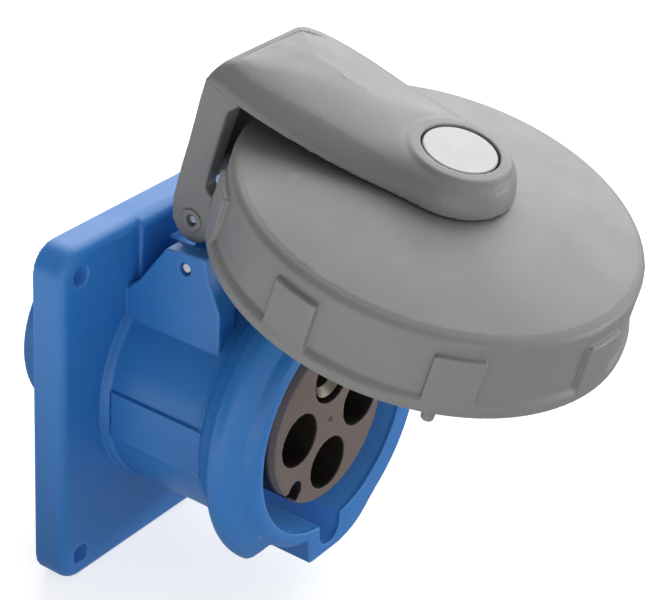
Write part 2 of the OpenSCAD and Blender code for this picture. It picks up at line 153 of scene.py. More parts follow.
def polygon(x, y, points):
    nearest = np.full(np.shape(x), 1e9, x.dtype)
    inside = np.zeros(np.shape(x), bool)
    for i, (x0, y0) in enumerate(points):
        x1, y1 = points[(i + 1) % len(points)]
        edge_x, edge_y = x1 - x0, y1 - y0
        from_x, from_y = x - x0, y - y0
        t = clamp((from_x * edge_x + from_y * edge_y) / (edge_x * edge_x + edge_y * edge_y))
        square = (from_x - edge_x * t) ** 2 + (from_y - edge_y * t) ** 2
        nearest = np.minimum(nearest, square)
        if y0 != y1:
            spans = (y0 > y) != (y1 > y)
            inside ^= spans & (x < edge_x * (y - y0) / edge_y + x0)
    distance = np.sqrt(nearest)
    return np.where(inside, -distance, distance)


def fillet(stations, step=9.0):
    """Outline from (x, y, corner radius) stations, each arc cut every step degrees or less."""
    outline = []
    for i, (*_, radius) in enumerate(stations):
        corner, before, after = (
            np.array(stations[k % len(stations)][:2], float) for k in (i, i - 1, i + 1))
        back, ahead = before - corner, after - corner
        back_length, ahead_length = np.linalg.norm(back), np.linalg.norm(ahead)
        back, ahead = back / back_length, ahead / ahead_length
        half = math.acos(max(-1, min(1, float(back @ ahead)))) / 2
        if radius <= 0 or half > math.radians(89.5):
            outline.append(tuple(corner))
            continue
        trim = min(radius / math.tan(half), 0.48 * min(back_length, ahead_length))
        radius = trim * math.tan(half)
        middle = back + ahead
        centre = corner + middle / np.linalg.norm(middle) * (radius / math.sin(half))
        start, end = corner + back * trim - centre, corner + ahead * trim - centre
        first = math.atan2(start[1], start[0])
        turn = (math.atan2(end[1], end[0]) - first + math.pi) % (2 * math.pi) - math.pi
        count = max(2, int(abs(math.degrees(turn)) / step) + 1)
        outline += [(centre[0] + radius * math.cos(first + turn * k / count),
                     centre[1] + radius * math.sin(first + turn * k / count))
                    for k in range(count + 1)]
    return outline


def soften(points, first, last, times=2):
    """Corner cutting of the open run first..last; the other corners stay as they are."""
    run = [np.array(p, float) for p in points[first:last + 1]]
    for _ in range(times):
        smoother = [run[0]]
        for a, b in zip(run, run[1:]):
            smoother += [a * 0.75 + b * 0.25, a * 0.25 + b * 0.75]
        run = smoother + [run[-1]]
    return list(points[:first]) + [tuple(p) for p in run] + list(points[last + 1:])


def near(x, y, z, limits, field, margin=3.5):
    """The field within a margin of its limits; further out, the distance to those limits."""
    gaps = [np.maximum(np.maximum(low - v, v - high), 0)
            for v, (low, high) in zip((x, y, z), limits)]
    out = np.sqrt(sum(gap * gap for gap in gaps))
    close = out < margin
    if close.any():
        out[close] = field(x[close], y[close], z[close])
    return out


def spin(x, y, clock):
    """Distances across and along the ray at a clock angle: degrees from +y towards +x."""
    angle = math.radians(clock)
    return (x * math.cos(angle) - y * math.sin(angle),
            x * math.sin(angle) + y * math.cos(angle))


def past(x, y, clock):
    """Distance past the ray at a clock angle, positive clockwise of it."""
    return spin(x, y, clock)[0]


# ---------------------------------------------------------------- meshing
FIXED = True  # marks a span whose spacing stays the same in quick builds


def steps(*spans):
    """Grid lines from (from, to, spacing[, FIXED]) spans joined end to end."""
    lines = []
    for start, end, spacing, *fixed in spans:
        if not fixed:
            spacing *= COARSE
        count = max(1, int(round((end - start) / spacing)))
        lines += [start + (end - start) * i / count for i in range(count)]
    return np.array(lines + [spans[-1][1]])


def sample(field, axes):
    """Field values on the grid, worked out in slabs along x."""
    values = np.empty([len(axis) for axis in axes], np.float32)
    plane_y, plane_z = (v.ravel() for v in np.meshgrid(*axes[1:], indexing="ij"))
    slab = max(1, 250000 // plane_y.size)

    def fill(i):
        part = axes[0][i:i + slab]
        count = len(part)
        found = field(np.repeat(part, plane_y.size), np.tile(plane_y, count),
                      np.tile(plane_z, count))
        values[i:i + slab] = found.reshape(count, *values.shape[1:])

    with ThreadPoolExecutor(4) as pool:
        list(pool.map(fill, range(0, len(axes[0]), slab)))
    values[values == 0] = 1e-6
    return values


def net(values, axes):
    """Surface net of the zero level: one point per crossed cell, one quad per crossed edge."""
    solid = values < 0
    halves = slice(0, -1), slice(1, None)
    corners = np.zeros([size - 1 for size in values.shape], np.uint8)
    for octant in product(halves, repeat=3):
        corners += solid[octant]
    active = (corners > 0) & (corners < 8)
    total = int(active.sum())
    ids = np.full(active.shape, -1, np.int64)
    ids[active] = np.arange(total)
    sums, counts, quads = np.zeros((total, 3)), np.zeros(total), []
    for axis in range(3):
        low, high = [slice(None)] * 3, [slice(None)] * 3
        low[axis], high[axis] = halves
        start = np.argwhere(solid[tuple(low)] != solid[tuple(high)])
        end = start.copy()
        end[:, axis] += 1
        value0, value1 = values[tuple(start.T)], values[tuple(end.T)]
        t = value0 / (value0 - value1)
        crossing = np.stack([axes[k][start[:, k]] for k in range(3)], 1).astype(float)
        crossing[:, axis] += t * (axes[axis][end[:, axis]] - axes[axis][start[:, axis]])
        around = []
        for shift1, shift2 in ((-1, -1), (0, -1), (0, 0), (-1, 0)):
            cell = start.copy()
            cell[:, (axis + 1) % 3] += shift1
            cell[:, (axis + 2) % 3] += shift2
            valid = ((cell >= 0) & (cell < np.array(active.shape))).all(1)
            index = np.full(len(cell), -1, np.int64)
            index[valid] = ids[tuple(cell[valid].T)]
            around.append(index)
            used = index >= 0
            for k in range(3):
                sums[:, k] += np.bincount(index[used], crossing[used, k], total)
            counts += np.bincount(index[used], minlength=total)
        rings = np.stack(around, 1)
        whole = (rings >= 0).all(1)
        rings = rings[whole]
        flip = ~solid[tuple(start.T)][whole]
        rings[flip] = rings[flip][:, ::-1]
        quads.append(rings)
    return sums / counts[:, None], np.concatenate(quads)


def unit(vectors):
    return vectors / np.maximum(np.linalg.norm(vectors, axis=1), 1e-9)[:, None]


def surface(field, grid):
    """Quad mesh of the zero level, relaxed along the surface and put back on it."""
    axes = [np.asarray(lines, np.float32) for lines in grid]
    points, quads = net(sample(field, axes), axes)
    total = len(points)
    max_step = 0.6 * float(np.median(np.diff(axes[2])))
    tetrahedron = np.array([[1, -1, -1], [-1, -1, 1], [-1, 1, -1], [1, 1, 1]], float)

    def in_parts(function, points):
        parts = np.array_split(np.arange(len(points)), 8)
        with ThreadPoolExecutor(4) as pool:
            return np.concatenate(list(pool.map(lambda part: function(points[part]), parts)))

    def gradient(points, reach):
        def one_part(part):
            return sum(corner * field(*(part + reach * corner).T)[:, None]
                       for corner in tetrahedron) / (4 * reach)
        return in_parts(one_part, points)

    def settle(points):
        """One limited Newton step on to the surface."""
        distance = in_parts(lambda part: field(*part.T), points)
        slope = gradient(points, 0.03)
        step = distance[:, None] * slope / np.maximum((slope * slope).sum(1), 0.3)[:, None]
        length = np.linalg.norm(step, axis=1)
        step *= np.minimum(1, max_step / np.maximum(length, 1e-9))[:, None]
        return points - step, slope

    start = quads.T.ravel()
    end = np.roll(quads, -1, axis=1).T.ravel()
    neighbours = np.maximum(np.bincount(start, minlength=total).astype(float), 1)[:, None]
    points, slope = settle(points)
    for _ in range(2):
        mean = np.stack([np.bincount(start, points[end, k], total) for k in range(3)], 1)
        normals = unit(slope)
        move = mean / neighbours - points
        move -= (move * normals).sum(1)[:, None] * normals
        points, slope = settle(points + 0.5 * move)
    points, _ = settle(points)
    return points, quads, unit(gradient(points, 0.06))


def to_world(v, is_point=True):
    """Drawing frame to world axes, still in millimetres."""
    return np.stack([v[:, 0], -v[:, 2], v[:, 1]], 1)


def swing(v, is_point=True):
    """Hinge frame, drawn shut, to world axes with the hinge open."""
    cosine, sine = math.cos(math.radians(OPEN_DEGREES)), math.sin(math.radians(OPEN_DEGREES))
    y, z = v[:, 1] * cosine + v[:, 2] * sine, -v[:, 1] * sine + v[:, 2] * cosine
    if is_point:
        y, z = y + HINGE_UP, z + HINGE_FORWARD
    return np.stack([v[:, 0], -z, y], 1)


def swing_cap(v, is_point=True):
    """Cap frame, its axis on z, to world axes with the hinge open."""
    if is_point:
        v = v - np.array([0, HINGE_UP, 0])
    return swing(v, is_point)


def build_piece(name, field, grid, place, body, look, replaced, shade=None):
    points, quads, normals = surface(field, grid)
    mesh = bpy.data.meshes.new(name)
    mesh.vertices.add(len(points))
    placed = place(points) / MM_PER_M
    mesh.vertices.foreach_set("co", placed.astype(np.float32).ravel())
    mesh.loops.add(len(quads) * 4)
    mesh.loops.foreach_set("vertex_index", quads.astype(np.int32).ravel())
    mesh.polygons.add(len(quads))
    mesh.polygons.foreach_set("loop_start", np.arange(0, len(quads) * 4, 4, dtype=np.int32))
    mesh.polygons.foreach_set("loop_total", np.full(len(quads), 4, np.int32))
    mesh.update(calc_edges=True)
    mesh.validate()
    mesh.polygons.foreach_set("use_smooth", np.ones(len(mesh.polygons), bool))
    mesh.normals_split_custom_set_from_vertices([tuple(v) for v in place(normals, False)])
    # per-vertex painted shade above zero and painted light (emission) below zero, read by the materials
    if shade:
        values = shade(*points.T).astype(np.float32)
        mesh.attributes.new("shade", "FLOAT", "POINT").data.foreach_set("value", values)
    piece = bpy.data.objects.new(name, mesh)
    bpy.context.scene.collection.objects.link(piece)
    mesh.materials.append(MATERIALS[look])
    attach(piece, body)
    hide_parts(replaced)


# ---------------------------------------------------------------- materials
WHITE = (1, 1, 1, 1)


class Graph:
    """Shorthand for filling the node tree of a material or a world."""

    def __init__(self, owner):
        owner.use_nodes = True
        self.tree = owner.node_tree
        self.tree.nodes.clear()

    def node(self, kind, inputs={}, output=0, **settings):
        """Adds a node, links or stores its inputs, and returns one output if it has any."""
        made = self.tree.nodes.new("ShaderNode" + kind)
        for key, value in settings.items():
            setattr(made, key, value)
        for key, value in inputs.items():
            if hasattr(value, "links"):
                self.tree.links.new(value, made.inputs[key])
            else:
                made.inputs[key].default_value = value
        return made.outputs[output] if made.outputs else None

    def ramp(self, value, low, high, to_low=0.0, to_high=1.0):
        return self.node("MapRange", {"Value": value, "From Min": low, "From Max": high,
                                      "To Min": to_low, "To Max": to_high})

    def maths(self, operation, a, b):
        return self.node("Math", {0: a, 1: b}, operation=operation)

    def mix(self, amount, a, b):
        return self.node("Mix", {0: amount, 6: a, 7: b}, output=2, data_type="RGBA")

    def noise(self, vector, scale, detail, roughness=0.55):
        return self.node("TexNoise", {"Vector": vector, "Scale": scale, "Detail": detail,
                                      "Roughness": roughness}, output="Fac")

    def bump(self, height, strength, distance, invert=False, **normal):
        return self.node("Bump", {"Height": height, "Strength": strength,
                                  "Distance": distance, **normal}, invert=invert)


def make_material(name, colour, roughness, metallic=0.0, specular=0.5, mottle=0.05,
                  edge_wear_and_highlight=0.12, crease_shade=0.25, grain=0.00001, grain_scale=1900):
    """Mottled colour with rubbed edges that also serve as painted edge highlights, painted shade in hollows
    and creases, hairlines and a fine grain.
    """
    material = bpy.data.materials.new(name)
    graph = Graph(material)
    node, ramp, maths, mix, noise, bump = (
        graph.node, graph.ramp, graph.maths, graph.mix, graph.noise, graph.bump)
    place = node("TexCoord", output="Object")
    pointiness = node("NewGeometry", output="Pointiness")

    def tint(gain, lift=0.0):
        return tuple(min(1, c * gain + lift) for c in colour) + (1,)

    light = tint(1.35, 0.04)
    cloud = noise(place, scale=34, detail=3)
    fine = noise(place, scale=420, detail=5, roughness=0.6)
    shown = mix(ramp(cloud, low=0.3, high=0.7), tint(1 - mottle), tint(1 + mottle))
    shown = mix(ramp(fine, low=0.35, high=0.65, to_high=mottle * 1.2), shown, light)
    # moulding flow streaks
    stretched = node("Mapping", {"Vector": place, "Scale": (28, 28, 180)})
    streak = noise(stretched, scale=1.0, detail=3, roughness=0.5)
    shown = mix(ramp(streak, low=0.5, high=0.72, to_high=0.06), shown, light)
    # rubbed edges lightened, partly real wear and partly painted edge highlight; hollows darkened as painted
    # shade
    edge_wear_highlight_mask = maths("MULTIPLY", ramp(pointiness, low=0.52, high=0.60),
                 ramp(fine, low=0.3, high=0.62, to_low=0.45))
    shown = mix(maths("MULTIPLY", edge_wear_highlight_mask, edge_wear_and_highlight), shown, tint(1.5, 0.10))
    # painted shade: hollows and creases darkened where shade falls
    painted_crease_shade = ramp(pointiness, low=0.49, high=0.42)
    shown = mix(maths("MULTIPLY", painted_crease_shade, crease_shade), shown, tint(0.6))
    # the shade attribute of built meshes: above zero darkens as painted shade, below zero adds emission as
    # painted light
    shade = node("Attribute", output="Fac", attribute_name="shade")
    shown = mix(shade, shown, tint(0.07))
    painted_light_lift = ramp(shade, low=0.0, high=-1.0)
    # sparse hairline scratches
    stretched = node("Mapping", {"Vector": place, "Rotation": (0.4, 0.7, 0.9),
                                 "Scale": (60, 2600, 60)})
    hair = noise(stretched, scale=1.0, detail=2, roughness=0.5)
    patch = ramp(noise(place, scale=55, detail=2), low=0.56, high=0.68)
    hairs = maths("MULTIPLY", ramp(hair, low=0.66, high=0.72), patch)
    rough = ramp(noise(place, scale=90, detail=4), low=0.3, high=0.7,
                 to_low=roughness - 0.05, to_high=roughness + 0.06)
    rough = maths("ADD", rough, maths("MULTIPLY", hairs, 0.03))
    rough = maths("SUBTRACT", rough, maths("MULTIPLY", edge_wear_highlight_mask, 0.05))
    # moulded grain, slight sink waviness, then the scratches
    relief = bump(noise(place, scale=grain_scale, detail=3, roughness=0.5),
                  strength=0.55, distance=grain)
    relief = bump(noise(place, scale=60, detail=2, roughness=0.4),
                  strength=0.5, distance=0.00012, Normal=relief)
    relief = bump(hairs, strength=0.25, distance=0.000008, invert=True, Normal=relief)
    shader = node("BsdfPrincipled", {
        "Base Color": shown, "Roughness": rough, "Metallic": metallic,
        "Specular IOR Level": specular, "Normal": relief,
        "Emission Color": tint(0.16, 0.012), "Emission Strength": painted_light_lift})
    node("OutputMaterial", {0: shader})
    return material


# grain is the depth of the grain in metres, grain_scale its fineness
MATERIALS = {name: make_material(name, **look) for name, look in {
    "blue_plastic": dict(colour=(0.026, 0.182, 0.525), roughness=0.40, specular=0.42,
                         edge_wear_and_highlight=0.6, crease_shade=0.35),
    "grey_plastic": dict(colour=(0.194, 0.194, 0.194), roughness=0.44, crease_shade=0.4,
                         grain=0.000014),
    "brown_plastic": dict(colour=(0.150, 0.112, 0.098), roughness=0.50, edge_wear_and_highlight=0.3, crease_shade=0.3,
                          mottle=0.07),
    "black_plastic": dict(colour=(0.022, 0.022, 0.023), roughness=0.5, edge_wear_and_highlight=0.2),
    "brass": dict(colour=(0.34, 0.30, 0.25), roughness=0.36, metallic=1.0, edge_wear_and_highlight=0.1,
                  mottle=0.08, grain=0.000006),
    "steel": dict(colour=(0.62, 0.61, 0.60), roughness=0.32, metallic=1.0, edge_wear_and_highlight=0.1,
                  grain=0.000006),
    "rubber": dict(colour=(0.016, 0.016, 0.017), roughness=0.72, grain=0.00002, edge_wear_and_highlight=0.1),
    "button": dict(colour=(0.40, 0.40, 0.41), roughness=0.42, metallic=0.15, edge_wear_and_highlight=0.05,
                   mottle=0.02, grain=0.000003, grain_scale=2600),
}.items()}

# ---------------------------------------------------------------- housing
# bayonet ring section: radius, height
RING_SECTION = soften([
    (MOUTH_RADIUS + 1.2, 30), (BARREL_RADIUS - 0.05, 36), (BARREL_RADIUS, 38.4),
    (BARREL_RADIUS + 0.3, 38.65), (BARREL_RADIUS + 0.3, 39.3), (BARREL_RADIUS + 1.5, 40.5),
    (BARREL_RADIUS + 2.5, 41.6), (BARREL_RADIUS + 3.6, 43.7), (36.5, 45.45), (36.8, 46.1),
    (38.5, 46.45), (39.1, 47.2), (39.3, 48.2), (39.2, 49.1), (38.7, 50.1), (37.8, 51.0),
    (35.7, 52.4), (33.9, 53.5), (32.9, 54.9), (31.9, 55.8), (30.6, 56.3),
    (MOUTH_RADIUS + 0.3, 56.3), (MOUTH_RADIUS + 0.3, 40)], 10, 17)
# the next four sections: radius, height, corner radius
RIM_SECTION = fillet([
    (MOUTH_RADIUS - 0.5, 28, 0), (BARREL_RADIUS - 0.5, 28, 0), (BARREL_RADIUS, 36.5, 1),
    (33.0, 39, 1), (33.4, 40.5, 1), (33.4, RIM_HEIGHT - 2, 0.8), (32.8, RIM_HEIGHT - 1, 0.6),
    (31.9, RIM_HEIGHT - 0.3, 0.6), (31.0, RIM_HEIGHT, 0.6),
    (MOUTH_RADIUS - 0.6, RIM_HEIGHT, 0)])
LAND_SECTION = fillet([(MOUTH_RADIUS - 0.5, 44, 0), (36.1, 44, 0.4), (36.1, RIM_HEIGHT, 0.7),
                       (MOUTH_RADIUS - 0.6, RIM_HEIGHT, 0)])
BARREL_SECTION = fillet([(22, 4, 0), (32.7, 4, 0), (32.7, 9.6, 0.2), (32.3, 10.6, 0.8),
                         (BARREL_RADIUS, 11.3, 0.8), (BARREL_RADIUS, 40, 0), (22, 40, 0)])
REAR_SECTION = fillet([(12, -23.5, 0), (25, -23.5, 1.0), (25, 3, 0), (12, 3, 0)])
# side view of a hinge cheek: z, y, corner radius
CHEEK_OUTLINE = fillet([
    (5, 18, 0), (9, 29.7, 2), (12.8, 33.2, 2), (20.75, 44.6, 1.3), (32.3, 45.7, 0.9),
    (33.9, 39.6, 3), (34.5, 38.4, 3), (37.0, 32.65, 2), (37.4, 18, 0)])
# front view of the key block under the mouth: x, y
KEY_OUTLINE = soften([
    (-9.4, -24), (-8.9, -31), (-8.0, -37.5), (-7.6, -38.0), (-7.0, -38.2), (3.3, -38.2),
    (6.2, -37.9), (9.2, -37.2), (12.4, -35.9), (15.2, -34.0), (18.0, -31.4), (20.3, -29.3),
    (16, -24), (10, -20), (-6, -20)], 5, 11)


def flange(x, y, z):
    """Square plate with a raised pad at its top middle."""
    plate = meet(meet(rect(x, y, 46.5, 46.5, 7.0), z - 9.0, 2.8), -z, 0.35)
    pad = near(x, y, z, ((-18.8, 18.8), (28, 46.5), (6, 9.9)), lambda x, y, z: meet(
        meet(rect(x, y, 46.2, 46.2, 7.0), z - 9.9, 2.6),
        meet(np.abs(x) - 18.8, 28 - y, 0.5), 0.8))
    return join(plate, meet(pad, 6 - z), 0.25)


def barrel_field(radius, z):
    return np.where((radius > 18) & (radius < 36) & (z > 0),
                    polygon(radius, z, BARREL_SECTION),
                    meet(np.abs(radius - 27.35) - 5.35, np.abs(z - 22) - 18))


def mouth(x, y, z):
    """Bayonet ring, low rim where it is broken, right-hand land, key block and inner lip."""
    ring = near(x, y, z, ((-39.5, 39.5), (-39.5, 39.5), (29, 56.4)), lambda x, y, z: meet(
        polygon(np.hypot(x, y), z, RING_SECTION),
        np.minimum(past(x, y, 172), -past(x, y, 219)), 0.45))
    rim = near(x, y, z, ((-26, 12), (-34.5, -20), (27, 56.4)), lambda x, y, z: meet(
        polygon(np.hypot(x, y), z, RIM_SECTION), meet(-past(x, y, 164), past(x, y, 224)), 0.3))
    land = near(x, y, z, ((2, 36.2), (-36.2, 36.2), (43, 56.4)), lambda x, y, z: meet(
        polygon(np.hypot(x, y), z, LAND_SECTION), meet(-past(x, y, 6), past(x, y, 168)), 0.5))
    key = near(x, y, z, ((-10, 20.5), (-38.5, -19), (28, 56.4)), lambda x, y, z: extrude(
        polygon(x, y, KEY_OUTLINE), z, 29, RIM_HEIGHT, 0.35))
    lip = near(x, y, z, ((-36, 36), (-36, 36), (36, 56.4)), lambda x, y, z: meet(
        meet(np.hypot(x, y) - 31.0, 28.0 - np.hypot(x, y)),
        np.abs(z - 46) - (RIM_HEIGHT - 46), 0.4))
    return np.minimum(np.minimum(np.minimum(ring, rim), join(land, key, 0.3)), lip)


def knuckle(x, y, z):
    """Round middle hinge barrel on its web."""
    roll = meet(np.hypot(y - HINGE_UP, z - HINGE_FORWARD) - 6.0, np.abs(x) - 8.4, 0.4)
    web = box(x, y, z, -8.4, 8.4, 26, HINGE_UP, HINGE_FORWARD - 6, HINGE_FORWARD + 6, 0.4)
    base = box(x, y, z, -8.4, 8.4, 26, 38, 5, HINGE_FORWARD, 0.4)
    return join(np.minimum(roll, web), base, 1.0)


def housing_solid(x, y, z):
    radius = np.hypot(x, y)
    barrel = barrel_field(radius, z)
    body = join(flange(x, y, z), barrel, 0.5)
    top = mouth(x, y, z)
    body = np.where((np.abs(barrel) < 3) & (z < 46), join(body, top, 0.35),
                    np.minimum(body, top))
    # blank name-plate land on the left of the barrel
    plate = near(x, y, z, ((-32.2, -26), (-7.4, 5.8), (11, 40)),
                 lambda x, y, z: box(x, y, z, -32.15, -24, -7.3, 5.7, 11.6, 39.5, 0.12))
    body = join(body, plate, 0.12)
    cheek = near(np.abs(x), y, z, ((17, 23.2), (17, 46), (5, 37.5)), lambda x, y, z: extrude(
        polygon(z, y, CHEEK_OUTLINE), x, 17.0, 23.2, 0.4))
    body = join(body, cheek, 0.35)
    body = join(body, near(x, y, z, ((-8.4, 8.4), (26, 57), (5, 30)), knuckle), 0.5)
    rear = np.where((z < 6) & (radius > 9) & (radius < 28), polygon(radius, z, REAR_SECTION),
                    meet(np.abs(radius - 18.5) - 6.5, np.abs(z + 10) - 13))
    return join(body, rear, 0.4)


def housing_field(x, y, z):
    """The housing with its openings cut."""
    radius = np.hypot(x, y)
    body = housing_solid(x, y, z)
    # stepped bore
    body = cut(body, meet(radius - MOUTH_RADIUS, 10 - z), 0.32)
    body = cut(body, meet(radius - 22.05, 2 - z), 0.3)
    body = cut(body, meet(radius - 22.4, z - 2.15), 0.4)
    # keyway, round-bottomed in front of a shallower square groove
    key_x = x - KEYWAY_X
    keyway = meet(np.hypot(key_x, np.minimum(y + 31.8, 0)) - 4.1, y + 20)
    body = cut(body, meet(keyway, 32 - z), 0.28)
    groove = meet(meet(np.abs(key_x) - 4.1, -30.7 - y), y + 20)
    body = cut(body, meet(groove, 12 - z), 0.15)
    for hole_x, hole_y in product((-SCREW_OFFSET, SCREW_OFFSET), repeat=2):
        body = cut(body, np.hypot(x - hole_x, y - hole_y) - 2.5, 0.12)
    # ring groove in the back of the flange
    body = cut(body, meet(np.abs(radius - 34.5) - 2.0, z - 2.0))
    # hinge bore, anchor pin hole and a relief round the hinge inside each cheek
    from_hinge = np.hypot(y - HINGE_UP, z - HINGE_FORWARD)
    body = cut(body, meet(from_hinge - 1.46, np.abs(x) - 12))
    body = cut(body, np.hypot(y - ANCHOR_UP, z - ANCHOR_FORWARD) - 1.62, 0.25)
    relief = near(np.abs(x), y, z, ((15, 19), (43, 59), (16, 31)), lambda x, y, z: meet(
        np.hypot(y - HINGE_UP, z - HINGE_FORWARD) - 7.2, np.abs(x - 17.0) - 2.0), 2.0)
    body = cut(body, relief)
    # four round holes through the wall of the rear collar
    for side, across in ((y, x), (-y, x), (x, y), (-x, y)):
        from_hole = np.where(side > 0, np.hypot(across, z + 13), 9)
        hole = np.where(radius > 11, from_hole - 2.8, 6.2).astype(body.dtype)
        body = cut(body, hole, 0.25)
    return body


def housing_painted_lift(x, y, z):
    """Painted light: emission that lifts the shade in the screw holes, the mouth and the keyway."""
    from_screw = np.hypot(np.abs(x) - SCREW_OFFSET, np.abs(y) - SCREW_OFFSET)
    wall = np.where((np.abs(x - KEYWAY_X) < 4.4) & (y < -20), clamp((y + 36.4) / 0.6),
                    clamp((29.6 - np.hypot(x, y)) / 0.4))
    depth = clamp(55.8 - z) * clamp((z - 2) / 20)
    return -0.6 * (from_screw < 2.56) * (z < 8.7) - depth * wall


housing_grid = (
    steps((-47.3, 47.3, 0.6)),
    steps((-47.3, 30, 0.6), (30, 38.8, 0.5), (38.8, 43.2, 0.3), (43.2, 57.5, 0.5)),
    steps((-24.4, -20, 0.6), (-20, 5, 0.9), (5, 12, 0.5), (12, 24, 0.75), (24, 28.8, 0.35),
          (28.8, 38, 0.6), (38, 40, 0.25), (40, 57, 0.45)))
build_piece("housing_shell", housing_field, housing_grid, to_world, "housing_body",
            "blue_plastic", "housing", housing_painted_lift)

# ---------------------------------------------------------------- contact insert
POLE_PITCH = 12.45  # from the axis
# x, y, recess radius, bore radius
POLES = [(POLE_PITCH, 0.0, 7.0, 5.1), (0.0, -POLE_PITCH, 7.0, 5.1),
         (-POLE_PITCH, 0.0, 7.0, 5.1), (0.0, POLE_PITCH, 7.15, 6.4)]


def insert_field(x, y, z):
    radius = np.hypot(x, y)
    body = meet(radius - 21.9, np.abs(z - 28.35) - 26.15, 0.7)
    body = np.minimum(body, meet(radius - 28.9, np.abs(z - 11.55) - 1.5))
    for pole_x, pole_y, recess, bore in POLES:
        from_pole = np.hypot(x - pole_x, y - pole_y)
        body = cut(body, meet(from_pole - recess, 22 - z), 0.12)
        body = cut(body, from_pole - bore)
    # side notch
    across, along = spin(x, y, -137)
    notch = np.hypot(across, np.minimum(along - 19.3, 0)) - 2.6
    body = cut(body, meet(notch, 20 - z), 0.12)
    # small dimple in the middle of the face
    return cut(body, np.sqrt(x * x + y * y + (z - 55.2) ** 2) - 1.2)


def insert_painted_shade_and_lift(x, y, z):
    """Painted shade inside the poles and low on the side wall; painted light as emission round the top of
    the side wall.
    """
    side = np.where(z > 52.0, -0.85, 0.97 * clamp((52.0 - z) / 0.8))
    return np.where(np.hypot(x, y) < 21.45, 0.97 * clamp((54.4 - z) / 0.5), side)


insert_lines = steps((-29.3, -22.5, 1.2, FIXED), (-22.5, 22.5, 0.45), (22.5, 29.3, 1.2, FIXED))
insert_grid = (insert_lines, insert_lines,
               steps((1.6, 51, 0.9), (51, 53.6, 0.4, FIXED), (53.6, 55.4, 0.25, FIXED)))
build_piece("contact_insert_body", insert_field, insert_grid, to_world, "housing_body",
            "brown_plastic", "contact_insert", insert_painted_shade_and_lift)

# ---------------------------------------------------------------- cap
SHOULDER_RADIUS = 45.6  # where the dome meets the rounded shoulder
# outer section: radius, height
CAP_OUTSIDE = [
    (-5, 10.7), (CAP_RADIUS - 0.9, 10.7), (CAP_RADIUS - 0.3, 11.0), (CAP_RADIUS, 11.7),
    (CAP_RADIUS, 13.1), (CAP_RADIUS - 0.2, 13.75), (CAP_RADIUS - 0.65, 14.4),
    (CAP_RADIUS - 1.1, 14.9), (CAP_RADIUS - 1.32, 15.7), (CAP_RADIUS - 1.6, 22),
    (CAP_RADIUS - 1.8, 28.2)]
CAP_OUTSIDE += [(SHOULDER_RADIUS + 2.3 * math.cos(math.radians(angle)),
                 28.3 + 2.3 * math.sin(math.radians(angle))) for angle in range(6, 73, 11)]
CAP_OUTSIDE += [(radius, DOME_TOP - DOME_RADIUS + math.sqrt(DOME_RADIUS ** 2 - radius * radius))
                for radius in (SHOULDER_RADIUS, 44, 42, 40, 38, *range(36, -1, -3))]
CAP_OUTSIDE += [(-5, DOME_TOP)]
# inner section: radius, height
CAP_INSIDE = [
    (-5, 5), (CAP_RADIUS - 3.9, 5), (CAP_RADIUS - 3.9, 26), (CAP_RADIUS - 8.1, 30.3),
    (CAP_RADIUS - 10.3, 31.7), (CAP_RADIUS - 11, 31.95), (37.5, 32.1), (35.9, 32.45),
    (35.2, 32.75), (31.9, 33.32), (27.7, 33.9), (22, 34.2), (-5, 34.2)]


def grip_tab(x, y, z, clock):
    across, along = spin(x, y, clock)
    side = rect(across, z - 19.1, 5.8, 6.75, 0.6)
    taper = CAP_RADIUS - 0.05 - np.clip(z - 12.5, 0, 20) * 0.024
    return meet(meet(side, 40 - along), np.hypot(x, y) - taper, 0.4)


def cap_field(x, y, z):
    radius = np.hypot(x, y)
    body = polygon(radius, z, CAP_OUTSIDE)
    body = np.where(z < 12, meet(meet(radius - CAP_RADIUS, z - 40), 10.7 - z, 0.8), body)
    for i in range(8):
        clock = i * 45 + 3.6
        tab_x, tab_y = 47.0 * math.sin(math.radians(clock)), 47.0 * math.cos(math.radians(clock))
        limits = ((tab_x - 7, tab_x + 7), (tab_y - 7, tab_y + 7), (10, 26))
        tab = near(x, y, z, limits, lambda x, y, z: grip_tab(x, y, z, clock), 2.5)
        body = join(body, tab, 0.55)
    body = cut(body, polygon(radius, z, CAP_INSIDE), 0.3)
    # two lugs on the inner wall, opposite each other
    for clock in (-155, 25):
        across, along = spin(x, y, clock)
        lug = meet(rect(across, z - 19.45, 5.5, 1.15, 0.3), meet(37.0 - radius, radius - 47), 0.4)
        body = join(body, np.where(along > 0, lug, 30).astype(body.dtype), 0.5)
    # peg on the edge
    across, along = spin(x, y, -128.5)
    peg = meet(np.hypot(across, along - 47.5) - 1.5, np.abs(z - 11) - 3.1, 0.5)
    body = join(body, peg, 0.4)
    # ring under the dome
    seat = meet(np.abs(radius - 27.0) - 0.6, np.abs(z - 33.65) - 0.75, 0.25)
    body = join(body, seat, 0.3)
    # bore and ring counterbore
    body = cut(body, meet(radius - 5.0, -1))
    return cut(body, meet(radius - 6.6, 35.0 - z))


cap_lines = steps((-50.6, 50.6, 0.6))
cap_grid = (cap_lines, cap_lines,
            steps((7.3, 10, 0.6), (10, 27, 0.5), (27, 31, 0.45), (31, 37.4, 0.28)))
build_piece("cap_shell", cap_field, cap_grid, swing_cap, "cap_body", "grey_plastic", "cap")

# ---------------------------------------------------------------- arm
# right edge seen from above the shut cap: x, y from the cap's axis
ARM_EDGE = soften([
    (14.98, -2.2), (15.9, 3.4), (18.0, 12), (19.8, 22), (20.6, 33), (20.85, 38), (20.7, 44),
    (20.1, 49), (19.3, 53.5), (18.3, 62)], 0, 9)
ARM_TIP = [(15.2 * math.cos(math.radians(angle)), 0.4 + 15.2 * math.sin(math.radians(angle)))
           for angle in range(-162, -17, 8)]
ARM_OUTLINE = [(-x, y) for x, y in reversed(ARM_EDGE)] + ARM_TIP + ARM_EDGE
